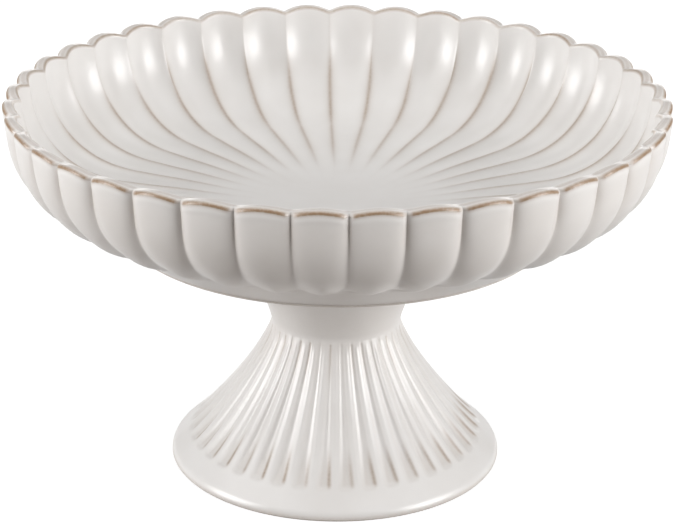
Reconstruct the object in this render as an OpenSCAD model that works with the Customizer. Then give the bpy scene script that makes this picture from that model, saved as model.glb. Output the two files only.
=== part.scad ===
// Footed compote bowl in glazed ceramic: a shallow scalloped bowl on a fluted, flaring pedestal.
// The foot rests on Z 0, Z points up, and the axis of both castings is the Z axis.

/* [Bowl] */
// Width of the bowl across the petal crests
rim_w = 300; // [270:1:330]
// Height of the bowl from its flat base to the lowest points of its rim
bowl_h = 61; // [54:0.5:68]
// Width of the bowl's flat base
base_w = 196; // [180:1:206]
// Number of petals round the bowl
petal_count = 40; // [32:2:46]
// Depth of the grooves between the petals, at the rim
petal_depth = 3; // [2:0.1:4]
// Height of each petal's tip above the low points of the rim
tip_rise = 2.1; // [1:0.1:3.5]
// Thickness of the wall at a petal's crest
wall_t = 5.3; // [4.5:0.1:6.5]
// Height of the ridges between the channels inside, at the rim
ridge_h = 2.7; // [1.5:0.1:3]
// Thickness of the floor at its middle
floor_t = 10.4; // [8:0.1:12]
// Fall of the floor from the foot of the wall to its middle
floor_fall = 3.2; // [1:0.1:5]
// Width of the plain well, where the ridges have died out
well_w = 90; // [60:1:120]

/* [Pedestal] */
// Height of the pedestal from the table to its top
ped_h = 112; // [100:1:126]
// Width of the foot
foot_w = 154.7; // [140:1:170]
// Width of the waist, where the collar ends and the flutes begin
waist_w = 59.2; // [54:0.5:66]
// Height of the waist above the table
waist_z = 67.5; // [60:0.5:74]
// Width of the plain collar where it meets the bowl
collar_w = 89.5; // [80:0.5:98]
// Number of flutes round the pedestal
flute_count = 40; // [32:2:46]
// Depth of the flutes
flute_depth = 1.2; // [0.8:0.1:1.6]
// Width of the ribs between the flutes
rib_w = 2.9; // [2.4:0.1:3.6]
// Thickness of the pedestal's wall
ped_wall = 5.5; // [4.5:0.1:6.5]
// Width of the unglazed ring that the foot stands on
foot_ring_w = 6.5; // [5:0.1:8]

/* [Joint] */
// Thickness of the slip that joins the two castings
slip_t = 0.8; // [0.5:0.1:1.5]

/* [Hidden] */
$fn = 96;

// How far a cutter runs past the face that it cuts
overrun = 2;
// Radius of the rounding on the lip
lip_round = 1.7;
// Radius of the rounding on the foot's upper edge
foot_round = 5.2;
// Bevel on the foot's lower edge
foot_bevel = 1;
// How far the slip stays inside both edges of the collar
slip_margin = 0.6;

// Radius of the bowl's outside wall in section, as a share of the bowl's height
wall_round_share = 0.797;
// Power that fills the arc out towards a square: 1 gives a plain quarter circle
wall_power = 0.91;
// Reach of the inside wall, from below the lip to the floor's edge, as a share of the bowl's height
inside_across_share = 0.765;
// Direction in which the petals end, down from level as seen from the arc's centre
petal_end_turn = 70;
// Petal depth lost on the way down the wall, and the part of the wall that this takes, as shares
petal_loss_share = 0.36;
petal_loss_end_share = 0.47;
// Ridge height left at the foot of the wall inside, as a share
ridge_left_share = 0.63;

// Places across one petal where the surface has a point, from one groove to the next
petal_shares = [0, 0.1, 0.3, 0.5, 0.7, 0.9];
// Places up the outside wall, from the end of the petals to the rim
wall_shares = [1, 0.83, 0.66, 0.49, 0.33, 0.16, 0];
// Places down the inside wall, from the rim to the floor
inside_shares = [0, 0.2, 0.4, 0.6, 0.8, 1];
// Places across the floor, from the foot of the wall to the edge of the well
floor_shares = [0.5, 1];
// Turns round the lip's rounding, from its side to its top
lip_turns = [30, 60, 90];
// Start and end of the flutes along the bell's curve
flute_start_share = 0.03;
flute_end_share = 0.885;
// End of the bell's hollow along the same curve
hollow_end_share = 0.9;
// Turn of the flutes against the petals above them
flute_turn = -1.9;
// Steps along the bell's curve
bell_steps = 9;

// Directions of the bell's curve at the waist and at the foot, from straight down
bell_turn_top = 17.3;
bell_turn_foot = 48.8;
// Lengths of the curve's two handles, as shares of the waist's height
bell_pull_top_share = 0.267;
bell_pull_foot_share = 0.37;

rim_r = rim_w / 2;
base_r = base_w / 2;
well_r = well_w / 2;
base_z = ped_h + slip_t;
rim_z = base_z + bowl_h;

// Section of the bowl: the outside wall is a filled-out arc about a point level with the rim,
// the petals curl in under it, and a plain band runs straight from their ends to the base's edge
wall_round = wall_round_share * bowl_h;
arc_r = rim_r - wall_round;
lip_start = asin(pow(lip_round / wall_round, 1 / wall_power));

// Inside, the wall is a quarter of an ellipse about a point above the floor's edge
inside_across = inside_across_share * bowl_h;
inside_deep = bowl_h - floor_t - floor_fall;
floor_r = rim_r - wall_t - inside_across;
inside_start = asin(lip_round / inside_deep);

petal_pitch = 360 / petal_count;
around = petal_count * len(petal_shares);

// Fullness across a petal: nothing in the groove, one at the crest
function pillow(share) = sqrt(1 - pow(abs(2 * share - 1), 3));
// Rise of the scooped inside: nothing in the middle of a channel, one on the ridge
function scoop(share) = pow(2 * share - 1, 2);
// Part of the petals' depth that is gone at one place down the wall
function loss(down) = petal_loss_share * pow(sin(90 * min(1, down / petal_loss_end_share)), 2);
// Height across a petal's tip
function tip(share) = 1 - pow(abs(2 * share - 1), 2.5);

// Each function below gives [radius, height] at one place across a petal
function outside(share, down) =
    let (turn = lip_start + (petal_end_turn - lip_start) * down)
    let (reach = wall_round - petal_depth * (1 - loss(down)) * (1 - pillow(share)))
    let (across = reach * pow(cos(turn), wall_power))
    [arc_r + across, rim_z - reach * pow(sin(turn), wall_power) + lift(share, down)];

function inside(share, down) =
    let (turn = inside_start + (90 - inside_start) * down)
    let (height = ridge_h * (1 - (1 - ridge_left_share) * down) * scoop(share))
    let (across = (inside_across - height) * cos(turn))
    [floor_r + across, rim_z - (inside_deep - height) * sin(turn) + lift(share, down)];

function floor_at(share, far) =
    let (radius = floor_r + (well_r - floor_r) * far)
    let (height = ridge_h * ridge_left_share * (1 - far) * scoop(share))
    [radius, rim_z - inside_deep - floor_fall * (1 - radius / floor_r) + height];

// The petals' tips are raised at the rim, and the wall below them follows within one step
function lift(share, down) = down == 0 ? tip_rise * tip(share) : 0;

function lip_out(share, turn) =
    outside(share, 0) + lip_round * [cos(turn) - 1, sin(turn)];
function lip_in(share, turn) =
    inside(share, 0) + lip_round * [1 - cos(turn), sin(turn)];

// One closed line from the base's edge up the outside, over the lip and down to the well
function section(share) = concat(
    [[base_r, base_z]],
    [for (down = wall_shares) outside(share, down)],
    [for (turn = lip_turns) lip_out(share, turn)],
    [for (turn = [90, 60, 30]) lip_in(share, turn)],
    [for (down = inside_shares) inside(share, down)],
    [for (far = floor_shares) floor_at(share, far)]);

function turned(point, turn) = [point[0] * cos(turn), point[0] * sin(turn), point[1]];

module bowl() {
    sections = [for (share = petal_shares) section(share)];
    rows = len(sections[0]);
    steps = len(petal_shares);
    ring_points = [for (row = [0 : rows - 1], petal = [0 : petal_count - 1], step = [0 : steps - 1])
        turned(sections[step][row], (petal + petal_shares[step] - 0.5) * petal_pitch)];
    base_middle = len(ring_points);
    well_middle = base_middle + 1;
    points = concat(ring_points, [[0, 0, base_z]], [[0, 0, base_z + floor_t]]);
    skin = [for (row = [0 : rows - 2], place = [0 : around - 1])
        let (next = (place + 1) % around)
        let (low = row * around)
        let (high = low + around)
        each [[low + place, high + place, high + next], [low + place, high + next, low + next]]];
    base = [for (place = [0 : around - 1]) [base_middle, place, (place + 1) % around]];
    last = (rows - 1) * around;
    well = [for (place = [0 : around - 1])
        [well_middle, last + (place + 1) % around, last + place]];
    color("ivory") polyhedron(points, concat(skin, base, well));
}

// Section of the pedestal's bell: one smooth curve from the waist to the foot
foot_r = foot_w / 2;
waist_r = waist_w / 2;
collar_r = collar_w / 2;
bell_top = [waist_r, waist_z];
bell_foot = [foot_r - foot_round * (1 - cos(bell_turn_foot)),
    foot_bevel + foot_round * sin(bell_turn_foot)];

function heading(turn) = [sin(turn), -cos(turn)];
bell_pull_top = bell_top + bell_pull_top_share * waist_z * heading(bell_turn_top);
bell_pull_foot = bell_foot - bell_pull_foot_share * waist_z * heading(bell_turn_foot);

function bell(share) =
    let (rest = 1 - share)
    rest * rest * rest * bell_top + 3 * rest * rest * share * bell_pull_top
    + 3 * rest * share * share * bell_pull_foot + share * share * share * bell_foot;
function bell_run(share) =
    let (rest = 1 - share)
    rest * rest * (bell_pull_top - bell_top) + 2 * rest * share * (bell_pull_foot - bell_pull_top)
    + share * share * (bell_foot - bell_pull_foot);
function bell_sunk(share, depth) =
    let (run = bell_run(share))
    bell(share) - depth * [-run[1], run[0]] / norm(run);
function bell_line(from, to, depth) =
    [for (step = [0 : bell_steps]) bell_sunk(from + (to - from) * step / bell_steps, depth)];
function backwards(list) = [for (place = [len(list) - 1 : -1 : 0]) list[place]];

module pedestal_outside() {
    edge_middle = bell_foot - foot_round * [cos(bell_turn_foot), sin(bell_turn_foot)];
    edge = [for (turn = [0.75, 0.5, 0.25, 0])
        edge_middle + foot_round * [cos(turn * bell_turn_foot), sin(turn * bell_turn_foot)]];
    rotate_extrude()
        polygon(concat([[0, ped_h], [collar_r, ped_h]], bell_line(0, 1, 0), edge,
            [[foot_r - foot_bevel, 0], [0, 0]]));
}

module pedestal_hollow() {
    hollow = bell_line(0, hollow_end_share, ped_wall);
    collar_run = (collar_r - waist_r) / (ped_h - waist_z);
    mouth_r = foot_r - foot_ring_w;
    rotate_extrude()
        polygon(concat([[0, ped_h + overrun],
            [collar_r - ped_wall + overrun * collar_run, ped_h + overrun]], hollow,
            [[mouth_r, 0], [mouth_r, -overrun], [0, -overrun]]));
}

// One wedge as wide as a flute: it widens with the bell and leaves ribs of one width on both sides
module flute_slice() {
    half = 180 / flute_count;
    start = [rib_w / 2 / sin(half), 0];
    far = foot_w;
    linear_extrude(waist_z + overrun)
        polygon([start, start + far * [cos(half), -sin(half)], start + far * [cos(half), sin(half)]]);
}

module flutes() {
    intersection() {
        rotate_extrude()
            polygon(concat(bell_line(flute_start_share, flute_end_share, flute_depth),
                backwards(bell_line(flute_start_share, flute_end_share, -overrun))));
        for (flute = [0 : flute_count - 1])
            rotate(flute * 360 / flute_count + flute_turn) flute_slice();
    }
}

module pedestal() {
    color("linen") difference() {
        pedestal_outside();
        flutes();
        pedestal_hollow();
    }
}

// The slip fills the joint between the collar's top and the bowl's base
module slip_joint() {
    outer_r = collar_r - slip_margin;
    inner_r = collar_r - ped_wall + slip_margin;
    color("tan") translate([0, 0, ped_h]) difference() {
        cylinder(h = slip_t, r = outer_r);
        translate([0, 0, -overrun]) cylinder(h = slip_t + 2 * overrun, r = inner_r);
    }
}

bowl();
pedestal();
slip_joint();
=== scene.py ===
"""Footed compote bowl: the finish of its two glazed castings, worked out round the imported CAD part.

Bowl and pedestal are surfaces of revolution whose section changes across each petal or flute.
Each is one function of two parameters on a grid: the place along the section, and the place around.
Lengths are in metres, and a share runs from 0 to 1.
"""

import math

import bpy
import numpy as np
from bpy.props import FloatProperty, FloatVectorProperty, IntProperty, PointerProperty
from mathutils import Matrix, Vector


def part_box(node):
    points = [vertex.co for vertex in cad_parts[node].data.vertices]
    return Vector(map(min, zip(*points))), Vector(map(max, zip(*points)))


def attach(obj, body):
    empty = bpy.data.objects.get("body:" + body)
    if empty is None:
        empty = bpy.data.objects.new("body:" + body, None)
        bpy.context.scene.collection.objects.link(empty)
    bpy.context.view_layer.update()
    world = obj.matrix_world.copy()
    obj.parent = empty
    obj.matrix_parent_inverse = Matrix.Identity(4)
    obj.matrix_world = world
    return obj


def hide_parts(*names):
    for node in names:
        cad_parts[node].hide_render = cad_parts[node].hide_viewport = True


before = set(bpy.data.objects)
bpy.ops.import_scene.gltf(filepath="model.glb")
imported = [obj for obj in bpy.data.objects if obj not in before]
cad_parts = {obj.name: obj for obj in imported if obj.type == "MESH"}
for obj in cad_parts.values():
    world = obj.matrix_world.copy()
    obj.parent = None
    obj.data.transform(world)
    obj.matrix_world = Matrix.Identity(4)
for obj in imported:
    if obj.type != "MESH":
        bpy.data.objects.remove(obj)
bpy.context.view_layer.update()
bowl_low, bowl_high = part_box("bowl")
foot_low, foot_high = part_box("pedestal")

bl_info = {
    "name": "Footed compote bowl",
    "version": (1, 0, 0),
    "blender": (4, 5, 0),
    "location": "View3D > Sidebar > Compote",
    "description": "Scalloped bowl on a fluted pedestal, with its glazes and a plain studio",
    "category": "Object",
}

MM = 0.001

# The grid's columns across a petal and a flute, and round the joint
PETAL_COLUMNS = 20
FLUTE_COLUMNS = 18
JOINT_COLUMNS = 160

# Reach of the bowl's outside arc and of its inside ellipse, as shares of the depth from its rim to its base
OUTSIDE_ARC = 0.797
INSIDE_REACH = 0.765
# The power that fills out the outside arc, and the turn down it at which the petals end
ARC_POWER = 0.91
PETALS_END = math.radians(70)
# Share of their depth that the grooves lose, and by which share of the petal's turn, and what the ridges lose
# by the floor
GROOVE_LOSS, GROOVE_LOSS_BY = 0.36, 0.47
RIDGE_LOSS = 0.37
# Radius of the base's edge, and how far out of it and above the base the plain band starts
BASE_ROUND = 1.1 * MM
BAND_OUT, BAND_UP = 0.15 * MM, 1.3 * MM
# How far the lip's band stands out, and how far the inside wall's foot is lifted
LIP_BAND = 0.22 * MM
COVE_LIFT = 0.9 * MM

# The bell's turn from upright at waist and foot, and its curve's pull there as shares of the waist's level
WAIST_TURN, FOOT_TURN = math.radians(17.3), math.radians(48.8)
WAIST_PULL, FOOT_PULL = 0.267, 0.37
# How far the waist's corner is filled, and over what distance
WAIST_FILL, WAIST_FILL_REACH = 0.35 * MM, 2.5 * MM
FOOT_BEVEL = 1 * MM
# The flutes' turn off the petals above them, and where they start and end as shares of the bell's curve
FLUTES_OFF = math.radians(1.9)
FLUTES_START, FLUTES_END = 0.018, 0.89
# Radius of a flute's corners, width of its sloping side, and how far the ribs' edges are softened
FLUTE_CORNER, FLUTE_BANK = 2.4 * MM, 2.8 * MM
RIB_SOFTENING = 0.3 * MM
# Share of brown over the collar and the bell's top
NECK_TINT = 0.09

# Radius of the joint's hollow fillets, and how far it reaches into the collar and into the bowl
FILLET = 1.7 * MM
JOINT_SUNK, JOINT_RAISED = 1.1 * MM, 0.12 * MM


def linear(value):
    """An sRGB hex colour as linear red, green, blue and alpha."""
    parts = [int(value[place : place + 2], 16) / 255 for place in (1, 3, 5)]
    return (*[v / 12.92 if v <= 0.04045 else ((v + 0.055) / 1.055) ** 2.4 for v in parts], 1.0)


def length(name, description, default):
    return FloatProperty(
        name=name, description=description, default=default, min=0.0, unit="LENGTH", subtype="DISTANCE"
    )


def power(name, description, default):
    return FloatProperty(name=name, description=description, default=default, min=0.0, unit="POWER")


def colour(name, description, value):
    return FloatVectorProperty(
        name=name, description=description, default=linear(value), size=4, min=0.0, max=1.0, subtype="COLOR"
    )


class CompoteBowl(bpy.types.PropertyGroup):
    """Sizes of the scalloped bowl"""

    width: length("Width", "Across the petals' crests", bowl_high[0] - bowl_low[0])
    base_level: length("Base level", "Height of the bowl's flat base above the table", bowl_low[2])
    top_level: length("Top level", "Height of the petals' tips above the table", bowl_high[2])
    base_width: length("Base width", "Across the flat base", 196 * MM)
    petals: IntProperty(name="Petals", description="Petals round the bowl", default=40, min=8)
    petal_depth: length("Petal depth", "Depth of the grooves between petals at the rim", 3.0 * MM)
    tip_rise: length("Tip rise", "Height of a petal's tip above the rim's low points", 2.1 * MM)
    wall: length("Wall", "Thickness of the wall at a petal's crest", 5.3 * MM)
    ridge: length("Ridge", "Height of the ridges inside at the rim", 2.7 * MM)
    lip_round: length("Lip rounding", "Radius of the lip's edges", 1.7 * MM)
    floor: length("Floor", "Thickness of the floor at its middle", 10.4 * MM)
    floor_fall: length("Floor fall", "Fall of the floor towards its middle", 3.2 * MM)
    well_width: length("Well width", "Across the plain middle of the floor", 90 * MM)


class CompotePedestal(bpy.types.PropertyGroup):
    """Sizes of the fluted pedestal"""

    height: length("Height", "From the table to the collar's top", foot_high[2] - foot_low[2])
    foot_width: length("Foot width", "Across the foot", foot_high[0] - foot_low[0])
    waist_width: length("Waist width", "Across the waist", 59.2 * MM)
    waist_level: length("Waist level", "Height of the waist above the table", 67.5 * MM)
    collar_width: length("Collar width", "Across the collar's top", 89.5 * MM)
    wall: length("Wall", "Thickness of the wall", 5.5 * MM)
    flutes: IntProperty(name="Flutes", description="Flutes round the bell", default=40, min=8)
    flute_depth: length("Flute depth", "Depth of the flutes at the foot", 0.8 * MM)
    rib_width: length("Rib width", "Width of the ribs between the flutes", 3.0 * MM)
    foot_round: length("Foot rounding", "Radius of the foot's upper edge", 5.2 * MM)
    ring_width: length("Foot ring", "Width of the bare ring under the foot", 6.5 * MM)


class CompoteGlaze(bpy.types.PropertyGroup):
    """Colours of the glaze and the clay"""

    body: colour("Glaze", "Warm white glaze where it lies at its full thickness", "#E8E6E4")
    # The broken glaze's brown also paints shade into the bowl's outside grooves and beside its inside ridges, and
    # the pooled colour paints shade over the bowl's outside and the middle of its inside wall
    thin: colour("Broken glaze", "Where the glaze runs thin over an edge and the clay's iron shows", "#947A60")
    pool: colour("Pooled glaze", "Where the glaze gathers in a hollow", "#DAD6D2")
    clay: colour("Clay", "Bare fired stoneware", "#CDB79A")


class CompoteStudio(bpy.types.PropertyGroup):
    """The camera and lamps"""

    lens: FloatProperty(name="Lens", description="Focal length", default=125.63, min=20.0, unit="CAMERA")
    left_power: power("Left panel", "Power of the low panel on the left", 22.4)
    right_power: power("Right panel", "Power of the low panel on the right", 24.6)
    high_left_power: power("High left panel", "Power of the high panel on the left", 13.2)
    high_right_power: power("High right panel", "Power of the high panel on the right", 11.4)
    top_power: power("Top panel", "Power of the panel above", 17.3)
    back_power: power("Back panel", "Power of the panel behind", 9.0)
    fill: FloatProperty(
        name="Fill", description="Strength of the even light from all round", default=0.062, min=0.0
    )


def eased(value, low, high):
    """Rises smoothly from 0 at low to 1 at high: three squares less two cubes of the share between them."""
    share = np.clip((value - low) / (high - low), 0, 1)
    return share * share * (3 - 2 * share)


def hump(value, middle, spread):
    """A bell curve about middle: the exponential of less the square of the distance over spread."""
    return np.exp(-(((value - middle) / spread) ** 2))


def column(values):
    """Values down the section, set up to meet the places around."""
    return np.asarray(values, float)[:, None]


def from_middle(share):
    """Distance from a petal's middle line, 0 there and 1 at its edges."""
    return np.abs(2 * share - 1)


def petal_places(count, steps):
    """Angles of the grid's columns and the share across a petal of each, with more columns near the grooves.
    The share is half of one more than the sine of a quarter turn times a place from -1 to 1."""
    place = np.arange(steps) / steps * 2 - 1
    share = 0.5 + 0.5 * np.sin(place * np.pi / 2)
    pitch = 2 * np.pi / count
    turn = (np.arange(count)[:, None] + share[None, :] - 0.5) * pitch
    return turn.ravel(), np.tile(share, count), np.repeat(np.arange(count), steps)


def fullness(share, down):
    """Outside of a petal: the root of one less the distance from its middle line to the power 2.3. A softness that
    grows down the wall rounds it off at the groove, and towards the petal's end it turns into a plain wave."""
    away = from_middle(share)
    room = 1 - away**2.3
    soft = 0.09 + 0.31 * eased(down, 0.08, 0.5)
    room = (np.hypot(room, soft) - soft) / (np.hypot(1, soft) - soft)
    pillow = (np.sqrt(room + soft**2) - soft) / (np.sqrt(1 + soft**2) - soft)
    wave = 0.5 + 0.5 * np.cos(np.pi * away)
    blend = eased(down, 0.4, 0.9)
    return pillow * (1 - blend) + wave * blend


def scoop(share):
    """Inside of a petal: the square of the distance from the channel's middle, rounded off at the ridge."""
    soft = 0.05
    gap = np.hypot(1 - from_middle(share), soft) - soft
    return (1 - gap) ** 2


def tip(share):
    """Height across a petal's tip: one less the distance from its middle to the power 2.5, with glaze
    filling the sharp corner between two tips."""
    soft = 0.14
    gap = np.hypot(1 - from_middle(share), soft) - soft
    return 1 - (1 - gap) ** 2.5


def ridge_brown_and_shade(share, radius, petals):
    """Brown on a ridge's top: a narrow bell curve of the distance from it, where the glaze breaks, on a wider,
    fainter one, which is painted shade along the ridge's sides.
    """
    off_ridge = (1 - from_middle(share)) * np.pi / petals * radius
    return 0.5 * hump(off_ridge, 0, 0.95 * MM) + 0.28 * hump(off_ridge, 0, 2.4 * MM)


class GlazedSkin:
    """Gathers the rows of a piece's skin from one end of its section to the other: radius, height, the shares of
    thin and of pooled glaze, which on the bowl also carry painted shade, and whether the clay is bare. Turn holds
    the angles round the piece."""

    def __init__(self, turn):
        self.turn = turn
        self.blocks = []
        self.bare = []

    def add(self, radius, height, thin=0.0, pool=0.0, bare=False):
        values = (radius, height, thin, pool)
        shape = np.broadcast_shapes(*[np.shape(value) for value in values], (1, len(self.turn)))
        self.blocks.append([np.broadcast_to(value, shape) for value in values])
        self.bare.append(np.full(shape[0], bare))


def closed_mesh(name, skin, materials):
    """Makes one closed mesh of a skin. Where the first and last row have radius 0 they become poles, and otherwise
    they meet each other as a ring. The rows run so that the faces point outwards."""
    radius, height, thin, pool = (np.concatenate([block[part] for block in skin.blocks]) for part in range(4))
    radius = np.maximum(radius, 0.0)
    rows, columns = radius.shape
    points = np.stack([radius * np.cos(skin.turn), radius * np.sin(skin.turn), height], axis=-1).reshape(-1, 3)
    ring = not np.any(radius[0] < 1e-9)
    if ring:
        chosen = np.arange(rows * columns)
        low = np.arange(rows)
        high = (low + 1) % rows
        first = 0
    else:
        chosen = np.concatenate([[0], np.arange(columns, (rows - 1) * columns), [(rows - 1) * columns]])
        low = np.arange(rows - 3)
        high = low + 1
        first = 1
    verts = points[chosen]
    here = np.arange(columns)
    after = (here + 1) % columns
    corners = [(low, here), (low, after), (high, after), (high, here)]
    quads = np.stack([first + row[:, None] * columns + place for row, place in corners], axis=-1)
    loops, totals = quads.ravel(), np.full(len(low) * columns, 4)
    face_bare = np.repeat(np.concatenate(skin.bare)[: len(low)].astype(np.int32), columns)
    if not ring:
        last = len(verts) - 1
        end = last - columns
        start_fan = np.stack([np.zeros(columns, int), 1 + after, 1 + here], axis=-1)
        end_fan = np.stack([np.full(columns, last), end + here, end + after], axis=-1)
        loops = np.concatenate([loops, start_fan.ravel(), end_fan.ravel()])
        totals = np.concatenate([totals, np.full(2 * columns, 3)])
        face_bare = np.concatenate([face_bare, np.zeros(2 * columns, np.int32)])
    mesh = bpy.data.meshes.new(name)
    mesh.vertices.add(len(verts))
    mesh.vertices.foreach_set("co", verts.ravel())
    mesh.loops.add(len(loops))
    mesh.loops.foreach_set("vertex_index", loops.astype(np.int32))
    mesh.polygons.add(len(totals))
    mesh.polygons.foreach_set("loop_start", np.concatenate([[0], np.cumsum(totals)[:-1]]).astype(np.int32))
    mesh.polygons.foreach_set("use_smooth", np.ones(len(totals), bool))
    mesh.polygons.foreach_set("material_index", face_bare)
    for mark, values in (("thin_glaze_and_shade", thin), ("pooled_glaze_and_shade", pool)):
        attribute = mesh.attributes.new(mark, "FLOAT", "POINT")
        attribute.data.foreach_set("value", np.clip(values, 0, 1).reshape(-1)[chosen].astype(np.float32))
    mesh.update(calc_edges=True)
    if mesh.validate():
        raise RuntimeError("the mesh of %s had faults" % name)
    for material in materials:
        mesh.materials.append(material)
    obj = bpy.data.objects.new(name, mesh)
    bpy.context.scene.collection.objects.link(obj)
    return obj


def bowl_skin(s):
    """The bowl's skin from the middle of its base, up the outside, over the lip and down the inside to the middle
    of the floor. The outside wall is an arc about a point level with the rim, whose sine and cosine are taken to a
    power that fills it out. It is sunk between the petals, which curl in under it, and a plain band runs straight
    from there to the base's edge. The inside wall is a quarter of an ellipse, scooped between the ridges, and the
    floor falls by half a wave of a cosine."""
    turn, share, petal = petal_places(s.petals, PETAL_COLUMNS)
    skin = GlazedSkin(turn)
    rim_r, base_r, well_r = s.width / 2, s.base_width / 2, s.well_width / 2
    rim_z = s.top_level - s.tip_rise
    deep_out = rim_z - s.base_level
    deep_in = deep_out - s.floor - s.floor_fall
    arc = OUTSIDE_ARC * deep_out
    across_in = INSIDE_REACH * deep_out
    centre_r = rim_r - arc
    floor_r = rim_r - s.wall - across_in
    rise, lift = scoop(share), s.tip_rise * tip(share)
    lip_start = math.asin((s.lip_round / arc) ** (1 / ARC_POWER))
    lip_start_in = math.asin(s.lip_round / deep_in)
    vary = np.random.default_rng(11).uniform(0.0, 1.0, s.petals)[petal]

    def wall(angle):
        """The outside at an angle down its arc. Its grooves lose depth with the square of a sine."""
        loss = GROOVE_LOSS * np.sin(np.pi / 2 * np.clip(angle / (GROOVE_LOSS_BY * PETALS_END), 0, 1)) ** 2
        reach = arc - s.petal_depth * (1 - loss) * (1 - fullness(share, angle / PETALS_END))
        return centre_r + reach * np.cos(angle) ** ARC_POWER, rim_z - reach * np.sin(angle) ** ARC_POWER

    def inner(angle, down):
        """The inside at an angle down its ellipse. Its ridges lose height evenly."""
        height = s.ridge * (1 - RIDGE_LOSS * down) * rise
        return floor_r + (across_in - height) * np.cos(angle), rim_z - (deep_in - height) * np.sin(angle)

    def cove(radius):
        """The lift of the inside wall's foot, so that it eases into the floor."""
        rises = eased(radius, floor_r - 14 * MM, floor_r + 8 * MM)
        return COVE_LIFT * rises * (1 - eased(radius, floor_r + 8 * MM, floor_r + 38 * MM))

    # The base is flat, and its edge is just rounded, with a little brown on it
    skin.add(column([0, 30, 46, 70, 95]) * MM, s.base_level)
    edge_turn = column(np.radians([-90, -75, -55, -35, -15, 10, 30]))
    edge_r = base_r - BASE_ROUND + BASE_ROUND * np.cos(edge_turn)
    edge_z = s.base_level + BASE_ROUND + BASE_ROUND * np.sin(edge_turn)
    skin.add(edge_r, edge_z, thin=0.35 * eased(edge_turn, -1.5, -0.9))

    # The plain band rises straight to the grooves' ends, and the petals' ends curl over onto it
    start_r, start_z = base_r + BAND_OUT, s.base_level + BAND_UP
    end_r, end_z = wall(np.array([[PETALS_END]]))
    groove_r, groove_z = end_r.min(), end_z.max()
    far = column([0.0, 0.03, 0.12, 0.3, 0.5, 0.65, 0.74, 0.78, 0.82, 0.86, 0.9, 0.93, 0.96, 0.98])
    curl = eased(far, 0.74, 1.0)
    band_r = start_r + (groove_r - start_r) * far + (end_r - groove_r) * curl
    band_z = start_z + (groove_z - start_z) * far + (end_z - groove_z) * curl
    skin.add(band_r, band_z, thin=0.25 * hump(far, 0, 0.04))

    # The wall is a little thicker in its top three millimetres, where the lip's band ends in a faint line of brown
    rows = np.concatenate([[0.01], np.linspace(0.04, 0.93, 21), np.linspace(0.95, 1, 6)])
    angle = PETALS_END + (lip_start - PETALS_END) * column(rows)
    r, z = wall(angle)
    from_rim = rim_z - s.lip_round - z
    r = r - LIP_BAND * eased(from_rim, 2.2 * MM, 3.6 * MM) * (1 - eased(from_rim, 8 * MM, 20 * MM))
    z = z + lift * (1 - eased(from_rim, 0, 12 * MM))
    lip_line = 0.45 * hump(from_rim, 0, 0.6 * MM) * eased(tip(share), 0, 0.25)
    # Painted shade: a brown line darkens the grooves between the petals, fading out by about 26 mm below the lip
    groove_shade = 0.2 * (1 - fullness(share, 0)) ** 2 * (1 - eased(from_rim, 8 * MM, 26 * MM))
    # Painted shade: the pooled colour darkens the outside wall from 6 mm below the lip down, and stops short of the
    # petals' ends, which stay lighter
    pool = 0.9 * eased(from_rim, 0, 6 * MM) * (1 - eased(angle / PETALS_END, 0.55, 0.72))
    skin.add(r, z, thin=lip_line + groove_shade, pool=pool)

    # Over the lip: a rounded outer edge, where most of the brown is, a narrow top and a rounded inner edge.
    # Between two tips the glaze fills the corner and the brown is fainter
    crown = 0.35 + 0.65 * eased(tip(share), 0, 0.3)
    top = column(np.linspace(0, np.pi / 2, 10)[1:])
    out_r, out_z = wall(np.array([[lip_start]]))
    edge_r = out_r + s.lip_round * (np.cos(top) - 1)
    skin.add(edge_r, out_z + lift + s.lip_round * np.sin(top), thin=crown * hump(top, 0.42, 0.9))
    in_r, in_z = inner(lip_start_in, 0.0)
    outer_top_r, outer_top_z = out_r - s.lip_round, out_z + lift + s.lip_round
    inner_top_r, inner_top_z = in_r + s.lip_round, in_z + lift + s.lip_round
    flat = column([0.25, 0.5, 0.75])
    flat_r = outer_top_r + (inner_top_r - outer_top_r) * flat
    flat_z = outer_top_z + (inner_top_z - outer_top_z) * flat
    skin.add(flat_r, flat_z, thin=0.34)
    top = column(np.linspace(np.pi / 2, 0, 9)[:-1])
    inner_brown = (0.4 + 0.3 * vary) * hump(top, 0.85, 0.5) * (0.6 + 0.4 * crown) + 0.14
    edge_r = in_r + s.lip_round * (1 - np.cos(top))
    skin.add(edge_r, in_z + lift + s.lip_round * np.sin(top), thin=inner_brown)

    # Down the inside, the brown lines on the ridges start below the rim, each at its own level
    down = column(np.concatenate([np.linspace(0, 0.12, 5), np.linspace(0.16, 1, 23)]))
    r, z = inner(lip_start_in + (np.pi / 2 - lip_start_in) * down, down)
    line = ridge_brown_and_shade(share, r, s.petals)
    begins = eased(down, 0.08 + 0.24 * vary, 0.3 + 0.38 * vary)
    z = z + lift * (1 - eased(down, 0, 0.2)) + cove(r)
    # The wider, fainter part of the ridges' lines is painted shade beside the ridges
    thin = 0.84 * line * (0.1 + 0.9 * begins) * (1 - 0.35 * eased(down, 0.8, 1))
    # Painted shade: the pooled colour swells towards the middle of the inside wall and darkens it
    skin.add(r, z, thin=thin, pool=0.25 + 0.35 * hump(down, 0.5, 0.3))

    # Across the floor the ridges and their lines die away into the plain well
    far = column(np.concatenate([np.linspace(0.06, 1, 13), [1.25, 1.5, 1.8, floor_r / (floor_r - well_r)]]))
    r = floor_r + (well_r - floor_r) * far
    left = s.ridge * (1 - RIDGE_LOSS) * (1 - eased(far, 0, 1.05)) ** 0.8
    fall = s.floor_fall * (0.5 + 0.5 * np.cos(np.pi * r / floor_r))
    # On the floor the ridges' lines are mostly painted shade beside the low ridges, and only a little broken glaze
    thin = ridge_brown_and_shade(share, r, s.petals) * 0.65 * (1 - eased(far, 0.35, 1.1))
    skin.add(r, rim_z - deep_in - fall + left * rise + cove(r), thin=thin, pool=0.25)
    return skin


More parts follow.
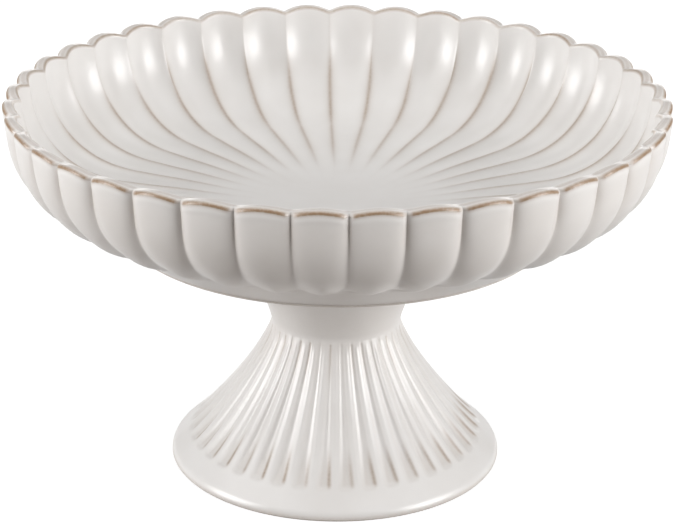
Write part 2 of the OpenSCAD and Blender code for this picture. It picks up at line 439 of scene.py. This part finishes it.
def bell_curve(s, share):
    """Point and direction of the bell's section: a cubic Bezier curve from the waist to the foot's rounding."""
    foot_in, foot_up = s.foot_round * (1 - math.cos(FOOT_TURN)), s.foot_round * math.sin(FOOT_TURN)
    start = np.array([s.waist_width / 2, s.waist_level])
    end = np.array([s.foot_width / 2 - foot_in, FOOT_BEVEL + foot_up])
    first = start + WAIST_PULL * s.waist_level * np.array([math.sin(WAIST_TURN), -math.cos(WAIST_TURN)])
    second = end - FOOT_PULL * s.waist_level * np.array([math.sin(FOOT_TURN), -math.cos(FOOT_TURN)])
    t = np.asarray(share, float)[..., None]
    point = (1 - t) ** 3 * start + 3 * (1 - t) ** 2 * t * first + 3 * (1 - t) * t * t * second + t**3 * end
    run = (1 - t) ** 2 * (first - start) + 2 * (1 - t) * t * (second - first) + t * t * (end - second)
    return point, run / np.linalg.norm(run, axis=-1, keepdims=True)


def pedestal_skin(s):
    """The pedestal's skin as one ring-shaped section: down the collar, the waist and the fluted bell, round the
    foot, and up through the hollow. A flute is as deep as its distance from the edge of a long rectangle with round
    corners allows, so that its sides slope and its ends are rounded."""
    pitch_share = (np.arange(FLUTE_COLUMNS) + 0.5) / FLUTE_COLUMNS - 0.5
    turn = (np.arange(s.flutes)[:, None] + pitch_share[None, :]) * 2 * np.pi / s.flutes
    skin = GlazedSkin(turn.ravel() - FLUTES_OFF)
    offset = np.tile(np.abs(pitch_share), s.flutes)
    right = np.tile(eased(pitch_share, -0.05, 0.1), s.flutes)
    vary = np.repeat(np.random.default_rng(5).uniform(0.0, 1.0, s.flutes), FLUTE_COLUMNS)
    waist_r, collar_r, foot_r = s.waist_width / 2, s.collar_width / 2, s.foot_width / 2
    top = s.height

    # The collar, whose corner with the bell is filled over a few millimetres
    rows = column(np.concatenate([[0, 0.03], np.linspace(0.1, 0.9, 9), [0.955]]))
    filled = WAIST_FILL * hump((1 - rows) * (top - s.waist_level), 0, WAIST_FILL_REACH)
    skin.add(collar_r + (waist_r - collar_r) * rows + filled, top + (s.waist_level - top) * rows, thin=NECK_TINT)

    # Rows down the bell, and the distance along its curve to each
    upper, lower = np.linspace(0.05, 0.8, 34), np.linspace(0.815, 0.92, 12)
    share = np.concatenate([[0.0, 0.02, 0.035], upper, lower, [0.94, 0.96, 0.98, 1.0]])
    point, run = bell_curve(s, share)
    fine_share = np.linspace(0, 1, 400)
    fine, _ = bell_curve(s, fine_share)
    travelled = np.concatenate([[0], np.cumsum(np.linalg.norm(np.diff(fine, axis=0), axis=1))])
    along = column(np.interp(share, fine_share, travelled))
    first, last = np.interp([FLUTES_START, FLUTES_END], fine_share, travelled)

    # Distance inside a flute's outline, below 0 on the ribs
    pitch = 2 * np.pi / s.flutes * point[:, :1]
    half = pitch / 2 - s.rib_width / 2 * (0.85 + 0.15 * column(eased(share, 0.0, 0.3)))
    corner = np.minimum(half, FLUTE_CORNER)
    side = offset * pitch - (half - corner)
    end = np.maximum(first - along, along - last) + corner
    inside = corner - np.hypot(np.maximum(side, 0), np.maximum(end, 0)) - np.minimum(np.maximum(side, end), 0)

    # The flutes deepen down the bell and grow shallow again at their lower ends, and the ribs' edges are softened
    bank = np.minimum(half * 0.98, FLUTE_BANK)
    deepens = 0.4 + 0.6 * column(eased(share, 0.1, 0.75))
    shallows = 1 - 0.45 * eased(along, last - 14 * MM, last - 2 * MM)
    depth = s.flute_depth * deepens * eased(inside, 0, bank) * shallows
    fluted = eased(along, first, first + 6 * MM) * (1 - eased(along, last - 6 * MM, last))
    sunk = depth + RIB_SOFTENING * (1 - eased(offset * 2, 0.55, 1.0)) * fluted
    radius = point[:, :1] + sunk * run[:, 1:] + WAIST_FILL * hump(along, 0, WAIST_FILL_REACH)
    height = point[:, 1:] - sunk * run[:, :1]

    # Brown gathers along one side of each flute's lower end, and streaks some of the flutes' upper ends
    low_end = eased(along, last - 22 * MM, last - 8 * MM) * (1 - eased(along, last - 4 * MM, last - 1 * MM))
    high_end = 1 - eased(along, first + 4 * MM, first + 26 * MM)
    floor_of_flute = eased(inside, 0.3 * bank, bank)
    wall_of_flute = hump(inside, 0.35 * bank, 0.3 * bank)
    side_brown = wall_of_flute * (0.05 + (0.4 + 0.35 * vary) * right * low_end)
    end_brown = floor_of_flute * (0.42 * high_end * vary + 0.14 * low_end)
    neck_brown = NECK_TINT * (1 - eased(along, 0, 25 * MM))
    skin.add(radius, height, thin=side_brown + end_brown + neck_brown, pool=floor_of_flute * 0.2)

    # The foot: a rounded upper edge, a small bevel and the bare ring that it stands on
    edge_turn = column(FOOT_TURN * np.linspace(0.88, 0, 8))
    edge_r = foot_r - s.foot_round + s.foot_round * np.cos(edge_turn)
    skin.add(edge_r, FOOT_BEVEL + s.foot_round * np.sin(edge_turn), thin=0.3 * hump(edge_turn, 0, 0.25))
    bevel_z, bevel_brown = column([0.85, 0.62, 0.28]) * MM, column([0.35, 0.6, 0.9])
    skin.add(column([foot_r, foot_r - 0.08 * MM, foot_r - 0.35 * MM]), bevel_z, thin=bevel_brown)
    mouth_r = foot_r - s.ring_width
    ring_r = column([foot_r - FOOT_BEVEL, foot_r - 2.6 * MM, mouth_r + 1.2 * MM, mouth_r + 0.2 * MM])
    skin.add(ring_r, 0.0, thin=0.2, bare=True)

    # Up through the hollow: the bell's curve set in by the wall's thickness, then the collar's inside and top
    point, run = bell_curve(s, np.linspace(0.9, 0.0, 22))
    inner = point + s.wall * np.stack([run[:, 1], -run[:, 0]], axis=-1)
    skin.add(column([mouth_r - 0.4 * MM]), 0.6 * MM)
    skin.add(inner[:, :1], inner[:, 1:])
    rows = column([0.06, 0.2, 0.4, 0.6, 0.8, 0.96])
    start_r, start_z, end_r = inner[-1, 0], inner[-1, 1], collar_r - s.wall
    skin.add(start_r + (end_r - start_r) * rows, start_z + (top - start_z) * rows)
    skin.add(column([end_r, end_r + 0.5 * MM, collar_r - 0.5 * MM]), top, bare=True)
    return skin


def joint_skin(pedestal, bowl):
    """The slip that joins collar and bowl: a low ring between them whose outer and inner faces are hollow fillets.
    A fillet is a quarter circle that leaves the casting below and meets the one above."""
    skin = GlazedSkin(np.arange(JOINT_COLUMNS) * 2 * np.pi / JOINT_COLUMNS)
    high = bowl.base_level + JOINT_RAISED
    low = pedestal.height - JOINT_SUNK
    sweep = np.linspace(0, np.pi / 2, 8)
    back = sweep[::-1]
    outer_r = pedestal.collar_width / 2 - 0.15 * MM
    inner_r = pedestal.collar_width / 2 - pedestal.wall
    outer = np.stack([outer_r + FILLET - FILLET * np.cos(sweep), high - FILLET + FILLET * np.sin(sweep)], axis=-1)
    inner = np.stack([inner_r - FILLET + FILLET * np.cos(back), high - FILLET + FILLET * np.sin(back)], axis=-1)
    under = np.array([[outer_r - 0.6 * MM, low], [inner_r + 0.6 * MM, low]])
    section = np.concatenate([outer[::-1], under, inner[::-1]])
    skin.add(section[:, :1], section[:, 1:], pool=0.4)
    return skin


def node(tree, kind, settings=None, links=None):
    """Adds a node. Settings name its own values or its input sockets, by name or number; links name the sockets
    that something feeds."""
    made = tree.nodes.new(kind)
    for name, value in (settings or {}).items():
        if isinstance(name, int) or name in made.inputs:
            made.inputs[name].default_value = value
        else:
            setattr(made, name, value)
    for name, source in (links or {}).items():
        tree.links.new(source, made.inputs[name])
    return made


def new_material(name):
    material = bpy.data.materials.new(name)
    material.use_nodes = True
    material.node_tree.nodes.clear()
    return material, material.node_tree


def glaze_material(name, colours):
    """Glossy opaque stoneware glaze, poured and fired: warm white, with brown where it breaks over edges. On the
    bowl its brown and pooled colours also lay painted shade into the grooves, beside the ridges and over the wall.
    """
    material, tree = new_material(name)
    place = node(tree, "ShaderNodeTexCoord").outputs["Object"]
    thin = node(tree, "ShaderNodeAttribute", {"attribute_name": "thin_glaze_and_shade"}).outputs["Fac"]
    pool = node(tree, "ShaderNodeAttribute", {"attribute_name": "pooled_glaze_and_shade"}).outputs["Fac"]
    # The white turns to the pooled colour by up to 0.7 in hollows and where the bowl's wall takes painted
    # shade, and by up to 0.3 in clouds about 22 mm across, as glaze that varies in thickness does
    clouds = node(tree, "ShaderNodeTexNoise", {"Scale": 45.0, "Detail": 2.0, "Roughness": 0.5}, {"Vector": place})
    cloudy = node(
        tree,
        "ShaderNodeMapRange",
        {"From Min": 0.3, "From Max": 0.7, "To Min": 0.0, "To Max": 0.3},
        {"Value": clouds.outputs["Fac"]},
    )
    pooled = node(
        tree, "ShaderNodeMath", {"operation": "MULTIPLY_ADD", 1: 0.7}, {0: pool, 2: cloudy.outputs["Result"]}
    )
    white = node(
        tree, "ShaderNodeMix", {"data_type": "RGBA", 6: colours.body, 7: colours.pool}, {0: pooled.outputs[0]}
    )
    # Flecks about 1.2 mm across fray the edges of the brown, where clay and glaze mix
    flecks = node(tree, "ShaderNodeTexNoise", {"Scale": 800.0, "Detail": 2.0, "Roughness": 0.6}, {"Vector": place})
    frayed = node(
        tree,
        "ShaderNodeMapRange",
        {"From Min": 0.3, "From Max": 0.7, "To Min": 0.88, "To Max": 1.12},
        {"Value": flecks.outputs["Fac"]},
    )
    brown_share = node(
        tree, "ShaderNodeMath", {"operation": "MULTIPLY", "use_clamp": True}, {0: thin, 1: frayed.outputs["Result"]}
    )
    mixed = node(
        tree, "ShaderNodeMix", {"data_type": "RGBA", 7: colours.thin}, {0: brown_share.outputs[0], 6: white.outputs[2]}
    )
    # The gloss is soft, and a little duller where the brown is
    gloss = node(tree, "ShaderNodeMapRange", {"To Min": 0.28, "To Max": 0.33}, {"Value": brown_share.outputs[0]})
    # Low swells about 9 mm apart and 0.02 mm high bend the reflections, as on poured glaze
    swells = node(tree, "ShaderNodeTexNoise", {"Scale": 110.0, "Detail": 1.0, "Roughness": 0.4}, {"Vector": place})
    bump = node(
        tree, "ShaderNodeBump", {"Strength": 1.0, "Distance": 0.00003}, {"Height": swells.outputs["Fac"]}
    )
    shader = node(
        tree,
        "ShaderNodeBsdfPrincipled",
        {"IOR": 1.6},
        {
            "Base Color": mixed.outputs[2],
            "Roughness": gloss.outputs["Result"],
            "Normal": bump.outputs["Normal"],
        },
    )
    node(tree, "ShaderNodeOutputMaterial", None, {"Surface": shader.outputs["BSDF"]})
    return material


def clay_material(colours):
    """Unglazed stoneware, wiped before firing: matt and sandy, with dark iron specks."""
    material, tree = new_material("bare stoneware")
    place = node(tree, "ShaderNodeTexCoord").outputs["Object"]
    # Iron specks under half a millimetre across lie about 2.4 mm apart
    specks = node(tree, "ShaderNodeTexVoronoi", {"Scale": 420.0}, {"Vector": place})
    dark = node(
        tree,
        "ShaderNodeMapRange",
        {"From Min": 0.0, "From Max": 0.16, "To Min": 0.6, "To Max": 0.0},
        {"Value": specks.outputs["Distance"]},
    )
    mixed = node(
        tree,
        "ShaderNodeMix",
        {"data_type": "RGBA", 6: colours.clay, 7: linear("#6E5238")},
        {0: dark.outputs["Result"]},
    )
    # Grog and sand grains are 0.4 to 0.8 mm across
    grains = node(tree, "ShaderNodeTexNoise", {"Scale": 1600.0, "Detail": 3.0}, {"Vector": place})
    bump = node(
        tree, "ShaderNodeBump", {"Strength": 0.6, "Distance": 0.0001}, {"Height": grains.outputs["Fac"]}
    )
    shader = node(
        tree,
        "ShaderNodeBsdfPrincipled",
        {"Roughness": 0.85},
        {"Base Color": mixed.outputs[2], "Normal": bump.outputs["Normal"]},
    )
    node(tree, "ShaderNodeOutputMaterial", None, {"Surface": shader.outputs["BSDF"]})
    return material


def paper_material():
    """White paper sweep under the bowl. The camera sees it white with a faint shadow, and the gloss mirrors it as
    pale paper with a slight glow. To other light it is grey, so that the petals keep their shade."""
    material, tree = new_material("white paper sweep")
    ray = node(tree, "ShaderNodeLightPath")
    seen = node(
        tree,
        "ShaderNodeMath",
        {"operation": "MAXIMUM"},
        {0: ray.outputs["Is Camera Ray"], 1: ray.outputs["Is Transmission Ray"]},
    )
    lit = node(tree, "ShaderNodeBsdfDiffuse", {"Color": linear("#797069")})
    mirrored = node(tree, "ShaderNodeBsdfDiffuse", {"Color": linear("#E0E0E0")})
    mirrored_glow = node(tree, "ShaderNodeEmission", {"Color": linear("#FFFFFF"), "Strength": 0.2})
    shadowed = node(tree, "ShaderNodeBsdfDiffuse", {"Color": linear("#8A8A8A")})
    glow = node(tree, "ShaderNodeEmission", {"Color": linear("#FFFFFF"), "Strength": 0.88})
    white = node(tree, "ShaderNodeAddShader", None, {0: shadowed.outputs[0], 1: glow.outputs[0]})
    mirrored = node(tree, "ShaderNodeAddShader", None, {0: mirrored.outputs[0], 1: mirrored_glow.outputs[0]})
    shader = node(
        tree,
        "ShaderNodeMixShader",
        None,
        {0: ray.outputs["Is Glossy Ray"], 1: lit.outputs[0], 2: mirrored.outputs[0]},
    )
    shader = node(
        tree, "ShaderNodeMixShader", None, {0: seen.outputs[0], 1: shader.outputs[0], 2: white.outputs[0]}
    )
    node(tree, "ShaderNodeOutputMaterial", None, {"Surface": shader.outputs[0]})
    return material


class COMPOTE_OT_bowl(bpy.types.Operator):
    """Makes the scalloped bowl in its glaze"""

    bl_idname = "compote.bowl"
    bl_label = "Scalloped bowl"

    def execute(self, context):
        glaze = glaze_material("white breaking glaze and painted shade on the bowl", context.scene.compote_glaze)
        bowl = closed_mesh("glazed_bowl", bowl_skin(context.scene.compote_bowl), [glaze])
        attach(bowl, "root")
        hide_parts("bowl")
        return {"FINISHED"}


class COMPOTE_OT_pedestal(bpy.types.Operator):
    """Makes the fluted pedestal in its glaze, with the bare ring under its foot"""

    bl_idname = "compote.pedestal"
    bl_label = "Fluted pedestal"

    def execute(self, context):
        colours = context.scene.compote_glaze
        glaze = glaze_material("white breaking glaze on the pedestal", colours)
        skin = pedestal_skin(context.scene.compote_pedestal)
        pedestal = closed_mesh("glazed_pedestal", skin, [glaze, clay_material(colours)])
        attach(pedestal, "root")
        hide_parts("pedestal")
        return {"FINISHED"}


class COMPOTE_OT_joint(bpy.types.Operator):
    """Makes the glazed bead of slip between the collar and the bowl"""

    bl_idname = "compote.joint"
    bl_label = "Slip joint"

    def execute(self, context):
        glaze = glaze_material("white glaze on the slip joint", context.scene.compote_glaze)
        skin = joint_skin(context.scene.compote_pedestal, context.scene.compote_bowl)
        joint = closed_mesh("glazed_slip_joint", skin, [glaze])
        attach(joint, "root")
        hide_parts("slip_joint")
        return {"FINISHED"}


def add_panel_light(name, place, width, height, watts):
    """A soft lighting panel at a place, turned to face the object's middle."""
    lamp = bpy.data.lights.new(name, "AREA")
    lamp.shape = "RECTANGLE"
    lamp.size, lamp.size_y = width, height
    lamp.energy = watts
    obj = bpy.data.objects.new(name, lamp)
    obj.location = place
    middle = Vector((0, 0, 0.12))
    obj.rotation_euler = (middle - Vector(place)).to_track_quat("-Z", "Y").to_euler()
    bpy.context.scene.collection.objects.link(obj)


def add_camera(lens):
    """The camera stands 1.02 m in front of the axis and 0.5 m above the table. It looks down by 21.9 degrees, is
    rolled by half a degree, and the whole is swung round the axis by 2.56 degrees, so that the petals line up."""
    pitch, roll, swing = math.radians(21.9), math.radians(0.52), math.radians(2.56)
    across = Vector((1, 0, 0))
    up = Vector((0, math.sin(pitch), math.cos(pitch)))
    back = Vector((0, -math.cos(pitch), math.sin(pitch)))
    side = across * math.cos(roll) + up * math.sin(roll)
    top = up * math.cos(roll) - across * math.sin(roll)
    placed = Matrix((side, top, back)).transposed().to_4x4()
    placed.translation = Vector((0.0016, -1.019, 0.5039))
    optics = bpy.data.cameras.new("camera")
    optics.lens, optics.sensor_width, optics.sensor_fit = lens, 36.0, "HORIZONTAL"
    optics.clip_start, optics.clip_end = 0.05, 50
    camera = bpy.data.objects.new("camera", optics)
    camera.matrix_world = Matrix.Rotation(swing, 4, "Z") @ placed
    bpy.context.scene.collection.objects.link(camera)
    bpy.context.scene.camera = camera


class COMPOTE_OT_studio(bpy.types.Operator):
    """Sets the white sweep, the soft lamps and the camera"""

    bl_idname = "compote.studio"
    bl_label = "Studio"

    def execute(self, context):
        scene = context.scene
        studio = scene.compote_studio
        half = 8.0
        mesh = bpy.data.meshes.new("sweep")
        corners = [(-half, -half, 0), (half, -half, 0), (half, half, 0), (-half, half, 0)]
        mesh.from_pydata(corners, [], [(0, 1, 2, 3)])
        mesh.materials.append(paper_material())
        sweep = bpy.data.objects.new("sweep", mesh)
        scene.collection.objects.link(sweep)

        world = bpy.data.worlds.new("even light")
        world.use_nodes = True
        background = world.node_tree.nodes["Background"]
        background.inputs["Color"].default_value = linear("#FFFFFF")
        background.inputs["Strength"].default_value = studio.fill
        scene.world = world
        add_panel_light("left panel", (-1.5, -0.52, 0.46), 0.9, 1.05, studio.left_power)
        add_panel_light("right panel", (1.48, -0.63, 0.46), 0.95, 1.05, studio.right_power)
        add_panel_light("high left panel", (-1.8, -0.65, 1.5), 1.9, 1.9, studio.high_left_power)
        add_panel_light("high right panel", (1.8, -0.65, 1.5), 2.3, 2.3, studio.high_right_power)
        add_panel_light("top panel", (0, 0.1, 1.9), 2.2, 2.2, studio.top_power)
        add_panel_light("back panel", (0, 2.0, 0.36), 2.0, 0.6, studio.back_power)
        add_camera(studio.lens)
        scene.view_settings.view_transform = "Standard"
        return {"FINISHED"}


class COMPOTE_PT_panel(bpy.types.Panel):
    """Lists the pieces of the footed compote bowl"""

    bl_label = "Footed compote bowl"
    bl_idname = "COMPOTE_PT_panel"
    bl_space_type = "VIEW_3D"
    bl_region_type = "UI"
    bl_category = "Compote"

    def draw(self, context):
        for operator, group in LISTED:
            box = self.layout.box()
            box.operator(operator.bl_idname)
            values = getattr(context.scene, group)
            for name in values.__annotations__:
                box.prop(values, name)


GROUPS = {
    "compote_bowl": CompoteBowl,
    "compote_pedestal": CompotePedestal,
    "compote_glaze": CompoteGlaze,
    "compote_studio": CompoteStudio,
}
LISTED = (
    (COMPOTE_OT_bowl, "compote_bowl"),
    (COMPOTE_OT_pedestal, "compote_pedestal"),
    (COMPOTE_OT_joint, "compote_glaze"),
    (COMPOTE_OT_studio, "compote_studio"),
)
CLASSES = (*GROUPS.values(), *[operator for operator, _ in LISTED], COMPOTE_PT_panel)


def register():
    for made in CLASSES:
        bpy.utils.register_class(made)
    for name, group in GROUPS.items():
        setattr(bpy.types.Scene, name, PointerProperty(type=group))


def unregister():
    for name in GROUPS:
        delattr(bpy.types.Scene, name)
    for made in reversed(CLASSES):
        bpy.utils.unregister_class(made)


def main():
    register()
    bpy.ops.compote.bowl()
    bpy.ops.compote.pedestal()
    bpy.ops.compote.joint()
    bpy.ops.compote.studio()


if __name__ == "__main__":
    main()
